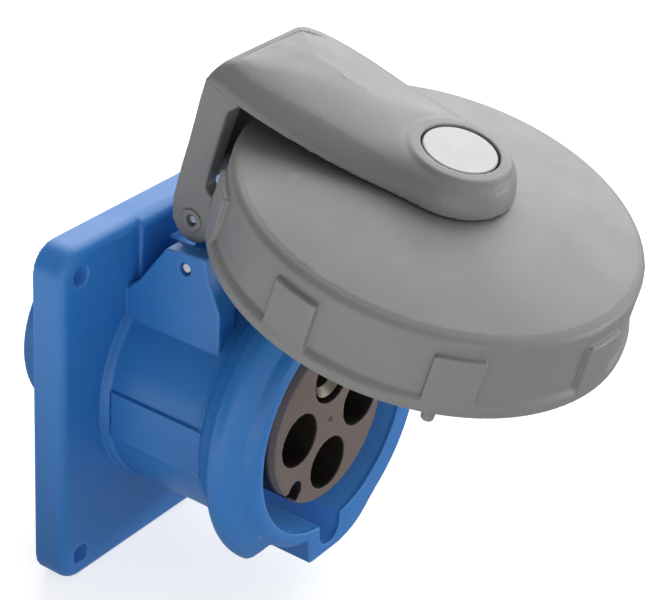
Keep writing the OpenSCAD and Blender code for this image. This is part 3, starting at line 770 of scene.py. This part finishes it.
# section of the crown: distance in from the edge, height
ARM_CROWN = soften([
    (0.1, 36.9), (0.25, 38.3), (0.8, 39.4), (2.6, 41.2), (4.4, 42.55), (6.2, 43.2),
    (7.7, 43.6), (9.2, 43.95), (10.7, 44.25), (12.2, 44.5), (13.7, 44.7), (15.2, 44.85),
    (17, 44.96), (19, 45.0), (40, 45.0), (40, 36.9)], 0, 13, times=1)
LABEL_OUTLINE = [(-14.2, 1.4), (8.9, 1.4), (12.7, -4.3), (11.8, -5.6), (-14.2, -5.6)]  # x, y
# side view of a leg in the hinge frame: z, y, corner radius
LEG_OUTLINE = fillet([
    (-4.6, 3.2, 0), (-2.9, 5.5, 0), (2.8, 6.7, 1), (11.6, 6.7, 2), (20, 6.1, 2),
    (37.4, 5.4, 0.6), (39, 4.0, 0.5), (39, -6, 0), (36.9, -5.4, 2), (34.8, -4.4, 2.5),
    (32.6, -2.5, 2), (24, -1.9, 1), (10.5, -1.0, 1), (9.3, -2.2, 0.8), (8.8, -4.2, 0.6),
    (6.4, -4.6, 1), (0, -5.9, 0), (-4.6, -2.8, 0)])
LEG_INNER, LEG_WIDTH = 13.2, 4.4
LEG_OUTER = 17.6


def arm_crown(x, y, z):
    """Domed plate over the cap, chamfered at the hinge end."""
    cap_y = y + HINGE_UP
    edge = polygon(x, cap_y, ARM_OUTLINE)
    right = ease((x + 4) / 8)  # 0 on the left half, 1 on the right
    stretch = 0.30 + 0.70 * ease((cap_y - 1) / 21)
    stretch = (stretch * (1 + 0.38 * right * ease((cap_y - 16) / 12))
               - 0.30 * (1 - right) * ease((cap_y - 27) / 20))
    shell = np.where(-edge < 20, polygon(np.minimum(-edge / stretch, 30.0), z, ARM_CROWN),
                     meet(z - 45.0, 36.9 - z))
    slope = ((y - 0.2) * 4.6 + (z - 45.0) * 5.0) / 6.794 + 0.04 * np.clip(z - 40, 0, 6)
    back = meet(y - 5.4 + (z - 36.9) * 0.1, slope, 1.6)
    corner = (np.abs(x) + y - 25.7 + right + (z - 36.9) * (1.25 + 0.35 * right)) / 2.0
    shell = meet(shell, meet(back, corner, 1.2), 1.6)
    shell = meet(shell, (z - 43.75 + (y - 1.4) * 0.16) / 1.013, 0.8)
    return meet(shell, 36.9 - z)


def arm_legs(x, y, z):
    """Both legs, which widen a little forwards, with a round eye at the hinge."""
    side = np.abs(x)

    def bar(x, y, z):
        widening = LEG_WIDTH + np.clip((z - 12) * 0.065, 0, 1.3)
        across = LEG_INNER + (x - LEG_INNER) * LEG_WIDTH / widening
        return extrude(polygon(z, y, LEG_OUTLINE), across, LEG_INNER, LEG_OUTER, 0.6)

    legs = near(side, y, z, ((LEG_INNER, 18.9), (-7, 8), (-7, 39)), bar)
    eye = near(side, y, z, ((LEG_INNER, LEG_OUTER), (-5.9, 5.9), (-5.9, 5.9)),
               lambda x, y, z: extrude(np.hypot(y, z) - 5.9, x, LEG_INNER, LEG_OUTER, 0.6))
    return np.minimum(legs, eye)


def arm_field(x, y, z):
    cap_y = y + HINGE_UP
    boss = near(x, cap_y, z, ((-12.4, 12.4), (-12.4, 12.4), (37, 45.4)), lambda x, y, z: meet(
        np.hypot(x, y) - 12.1, meet(z - 45.25, 38 - z), 0.9), 5)
    body = melt(arm_crown(x, y, z), boss, 0.9)
    # shallow blank label recess at the hinge end of the top, fading out towards the tip
    label = near(x, y, z, ((-15.5, 12.8), (-5.7, 1.5), (42, 46)),
                 lambda x, y, z: polygon(x, y, LABEL_OUTLINE), 2.0)
    fade = np.clip((y + 6.0) / 5.0, 0.1, 1) * clamp((x + 14.0) / 4.0)
    recess = np.where(z > 41.5, 0.30 * ease(-label / 0.35) * fade, 0)
    body = body + recess.astype(body.dtype)
    body = join(body, arm_legs(x, y, z), 0.25)
    # low round pads on the outer faces of the legs
    pads = near(np.abs(x), y, z, ((16, 18.2), (-3, 3), (-3, 3)),
                lambda x, y, z: meet(np.hypot(y, z) - 2.9, x - 18.1, 0.2))
    body = join(body, pads, 0.12)
    # stepped web between the legs
    web = near(x, y, z, ((-14, 14), (0, 6), (9, 39)), lambda x, y, z: meet(
        np.abs(x) - 14.2, np.minimum(meet(np.abs(y - 4.2) - 1.6, np.abs(z - 26) - 12),
                                     meet(np.abs(y - 1.8) - 1.2, np.abs(z - 12.2) - 2.8))))
    body = join(body, web, 0.5)
    # hinge bore, pivot bore and its counterbore
    body = cut(body, np.hypot(y, z) - 1.42, 0.15)
    from_pivot = np.hypot(x, cap_y)
    body = cut(body, meet(from_pivot - 4.97, 30 - z), 0.15)
    body = cut(body, meet(from_pivot - 9.1, 42.0 - z), 0.28)
    # trimmed gate mark on the tip
    from_gate = np.sqrt((x - 1.2) ** 2 + (cap_y + 14.2) ** 2 + (z - 40.0) ** 2)
    ripple = 0.7 + 0.3 * np.sin(5.0 * x + 1.0) * np.cos(4.2 * z)
    return body - 0.28 * np.exp(-(from_gate / 1.3) ** 4) * ripple


def arm_painted_recess_shade(x, y, z):
    """Painted shade along the edge of the label recess."""
    line = 0.35 * np.exp(-(polygon(x, y, LABEL_OUTLINE) / 0.6) ** 2)
    return np.where(z > 41.8, line * clamp((y + 5.0) / 5.0), 0)


arm_grid = (
    steps((-21.8, 21.8, 0.5)),
    steps((-67.6, -3.4, 0.5), (-3.4, 3.4, 0.28), (3.4, 8.4, 0.5)),
    steps((-7.1, -3.4, 0.6), (-3.4, 3.4, 0.28), (3.4, 35, 0.6), (35, 46.2, 0.4)))
build_piece("arm_shell", arm_field, arm_grid, swing, "arm_body", "grey_plastic", "arm",
            arm_painted_recess_shade)

# ---------------------------------------------------------------- materials of the CAD pieces
CAD_LOOKS = {
    "rubber": "panel_gasket insert_seal cap_gasket pivot_oring",
    "black_plastic": "contact_carrier",
    "brass": "contact_l1 contact_l2 contact_l3 contact_ground",
    "steel": "spring_bands terminal_screws carrier_screws hinge_pin anchor_pin wave_washer"
             " pivot_washer pivot_clip torsion_springs",
    "button": "pivot_pin",
    "blue_plastic": "housing",
    "brown_plastic": "contact_insert",
    "grey_plastic": "cap arm",
}
for look, names in CAD_LOOKS.items():
    for name in names.split():
        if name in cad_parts:
            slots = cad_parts[name].data.materials
            slots.clear()
            slots.append(MATERIALS[look])

# ---------------------------------------------------------------- torsion springs
COIL_RADIUS, WIRE_RADIUS, COIL_TURNS = 3.6, 0.45, 3
COIL_INNER_X, COIL_OUTER_X = 9.1, 12.45
ANCHOR_PIN_RADIUS = 1.58
PIN_CLEARANCE = 0.1
FIXED_LEG = (10.6, 8, 5, 2.5, 1)  # distances of the leg points from the coil
MOVING_LEG = (1, 2.5, 5, 8, 11, 13)
COIL_STEPS, WIRE_SIDES = 40 * COIL_TURNS, 12


def spring_path():
    """Centre line of the right-hand spring in the hinge frame, and its blend weights."""
    up, forward = ANCHOR_UP - HINGE_UP, ANCHOR_FORWARD - HINGE_FORWARD
    distance = math.hypot(up, forward)
    # the fixed leg leaves the coil at a tangent and passes just beside the anchor pin
    offset = COIL_RADIUS - ANCHOR_PIN_RADIUS - WIRE_RADIUS - PIN_CLEARANCE
    lean = math.asin(offset / distance)
    tangent = -forward / distance * math.cos(lean) + up / distance * math.sin(lean)
    first = math.pi + math.asin(-tangent)
    last = math.radians(90 + OPEN_DEGREES - 360 * COIL_TURNS)
    shares = [i / COIL_STEPS for i in range(COIL_STEPS + 1)]
    angles = [first + (last - first) * share for share in shares]
    coil = [np.array((COIL_INNER_X + (COIL_OUTER_X - COIL_INNER_X) * share,
                      COIL_RADIUS * math.sin(angle), COIL_RADIUS * math.cos(angle)))
            for share, angle in zip(shares, angles)]
    fixed_way = np.array([0, math.cos(first), -math.sin(first)])
    moving_way = np.array([0, -math.cos(last), math.sin(last)])
    path = ([coil[0] + reach * fixed_way for reach in FIXED_LEG] + coil
            + [coil[-1] + reach * moving_way for reach in MOVING_LEG])
    return np.array(path), [0.0] * len(FIXED_LEG) + shares + [1.0] * len(MOVING_LEG)


def build_springs():
    """Both springs as one mesh, bent between the housing and the arm."""
    path, path_weights = spring_path()
    verts, faces, weights = [], [], []
    for side in (1, -1):
        line = path * (side, 1, 1)
        tangents = np.gradient(line, axis=0)
        tangents /= np.linalg.norm(tangents, axis=1)[:, None]
        base = len(verts)
        for centre, tangent, weight in zip(line, tangents, path_weights):
            across = np.cross(tangent, [1, 0.013, 0.021])
            across /= np.linalg.norm(across)
            other = np.cross(tangent, across)
            for k in range(WIRE_SIDES):
                angle = 2 * math.pi * k / WIRE_SIDES
                x, y, z = centre + WIRE_RADIUS * (
                    math.cos(angle) * across + math.sin(angle) * other)
                verts.append((x / MM_PER_M, -(z + HINGE_FORWARD) / MM_PER_M,
                              (y + HINGE_UP) / MM_PER_M))
                weights.append(weight)
        for i in range(len(line) - 1):
            here = base + i * WIRE_SIDES
            ahead = here + WIRE_SIDES
            for k in range(WIRE_SIDES):
                after = (k + 1) % WIRE_SIDES
                faces.append((here + k, here + after, ahead + after, ahead + k))
        faces.append(tuple(base + k for k in reversed(range(WIRE_SIDES))))
        faces.append(tuple(base + (len(line) - 1) * WIRE_SIDES + k for k in range(WIRE_SIDES)))
    mesh = bpy.data.meshes.new("torsion_spring_wire")
    mesh.from_pydata(verts, [], faces)
    mesh.update()
    shell = bmesh.new()
    shell.from_mesh(mesh)
    bmesh.ops.recalc_face_normals(shell, faces=shell.faces)
    shell.to_mesh(mesh)
    shell.free()
    for face in mesh.polygons:
        face.use_smooth = True
    spring = bpy.data.objects.new("torsion_spring_wire", mesh)
    bpy.context.scene.collection.objects.link(spring)
    mesh.materials.append(MATERIALS["steel"])
    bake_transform(spring, "housing_body", "arm_body", start=(0, -0.02, 0.045), end=(0, -0.03, 0.055))
    mesh.attributes["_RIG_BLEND"].data.foreach_set("value", np.array(weights, np.float32))
    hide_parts("torsion_springs")


build_springs()

# ---------------------------------------------------------------- world, floor, lights, camera
# All in metres from here on.
scene = bpy.context.scene
scene.view_settings.view_transform = "Standard"

AMBIENT = 0.25
# direction, strength added towards it
WORLD_LOBES = [((1, -0.3, 0.1), 0.50), ((-0.86, 0.5, 0.2), -0.22), ((0, 0, 1), 0.25),
               ((-0.05, -1, -0.1), 0.45)]


def build_world():
    """White to the camera; to the object, brighter or darker towards each lobe."""
    world = bpy.data.worlds.new("studio")
    scene.world = world
    graph = Graph(world)
    node = graph.node
    direction = node("TexCoord", output="Generated")
    strength = AMBIENT
    for axis, gain in WORLD_LOBES:
        facing = node("VectorMath", {0: direction, 1: Vector(axis).normalized()},
                      output="Value", operation="DOT_PRODUCT")
        lobe = graph.maths("MULTIPLY", node("Clamp", {"Value": facing}), gain)
        strength = graph.maths("ADD", lobe, strength)
    lit = node("Background", {"Color": (0.96, 0.98, 1.0, 1), "Strength": strength})
    seen = node("Background", {"Color": WHITE, "Strength": 1.0})
    is_camera = node("LightPath", output="Is Camera Ray")
    node("OutputWorld", {0: node("MixShader", {0: is_camera, 1: lit, 2: seen})})


def build_floor(half_size=6.0, gap=0.0002):
    """White paper; the object sees it bright on the left and dimmer to the right."""
    material = bpy.data.materials.new("floor")
    graph = Graph(material)
    node = graph.node
    paper = node("BsdfDiffuse", {"Color": (0.55, 0.55, 0.55, 1)})
    seen = node("AddShader", {0: paper,
                              1: node("Emission", {"Color": WHITE, "Strength": 0.70})})
    position = node("NewGeometry", output="Position")
    brightness = graph.ramp(node("SeparateXYZ", {0: position}), low=-0.20, high=-0.06,
                            to_low=1.6, to_high=0.42)
    lit = node("Emission", {"Strength": brightness})
    is_camera = node("LightPath", output="Is Camera Ray")
    node("OutputMaterial", {0: node("MixShader", {0: is_camera, 1: lit, 2: seen})})
    mesh = bpy.data.meshes.new("floor")
    height = cad_box[0][2] - gap
    corners = [(-1, -1), (1, -1), (1, 1), (-1, 1)]
    mesh.from_pydata([(x * half_size, y * half_size, height) for x, y in corners], [],
                     [(0, 1, 2, 3)])
    floor = bpy.data.objects.new("floor", mesh)
    scene.collection.objects.link(floor)
    mesh.materials.append(material)


def add_area_light(name, location, target, size, power, colour=(1, 1, 1)):
    light = bpy.data.lights.new(name, "AREA")
    light.shape, light.size, light.size_y = "RECTANGLE", size[0], size[1]
    light.energy, light.color = power, colour
    lamp = bpy.data.objects.new(name, light)
    scene.collection.objects.link(lamp)
    lamp.location = location
    lamp.rotation_mode = "QUATERNION"
    lamp.rotation_quaternion = (Vector(target) - Vector(location)).to_track_quat("-Z", "Y")
    lamp.visible_camera = False


def add_camera(location, azimuth, elevation, roll, lens):
    """Camera aimed by angles in degrees: azimuth from -Y towards +X, elevation, roll."""
    data = bpy.data.cameras.new("camera")
    camera = bpy.data.objects.new("camera", data)
    scene.collection.objects.link(camera)
    azimuth, elevation, roll = map(math.radians, (azimuth, elevation, roll))
    backward = np.array([math.sin(azimuth) * math.cos(elevation),
                         -math.cos(azimuth) * math.cos(elevation), math.sin(elevation)])
    level = np.array([math.cos(azimuth), math.sin(azimuth), 0.0])
    upright = np.cross(backward, level)
    right = math.cos(roll) * level + math.sin(roll) * upright
    up = -math.sin(roll) * level + math.cos(roll) * upright
    matrix = np.eye(4)
    matrix[:3] = np.stack([right, up, backward, location], 1)
    camera.matrix_world = Matrix(matrix.tolist())
    data.sensor_width, data.sensor_fit = 36.0, "HORIZONTAL"
    data.lens = lens
    data.clip_start, data.clip_end = 0.01, 50
    scene.camera = camera


build_world()
build_floor()
add_area_light("sheen", location=(0.60, 0.16, 0.62), target=(0, -0.04, 0.03),
               size=(1.2, 1.1), power=10.8, colour=(1.0, 1.0, 0.99))
add_area_light("left", location=(-0.55, -0.62, 0.00), target=(0, -0.05, -0.01),
               size=(0.4, 0.3), power=0.6)
add_area_light("front_right", location=(0.45, -0.62, -0.03), target=(0.03, -0.09, 0.04),
               size=(0.35, 0.25), power=2.2)
add_camera(location=(-0.37792, -0.30731, 0.29118), azimuth=-56.142, elevation=29.539,
           roll=3.798, lens=118.783125)
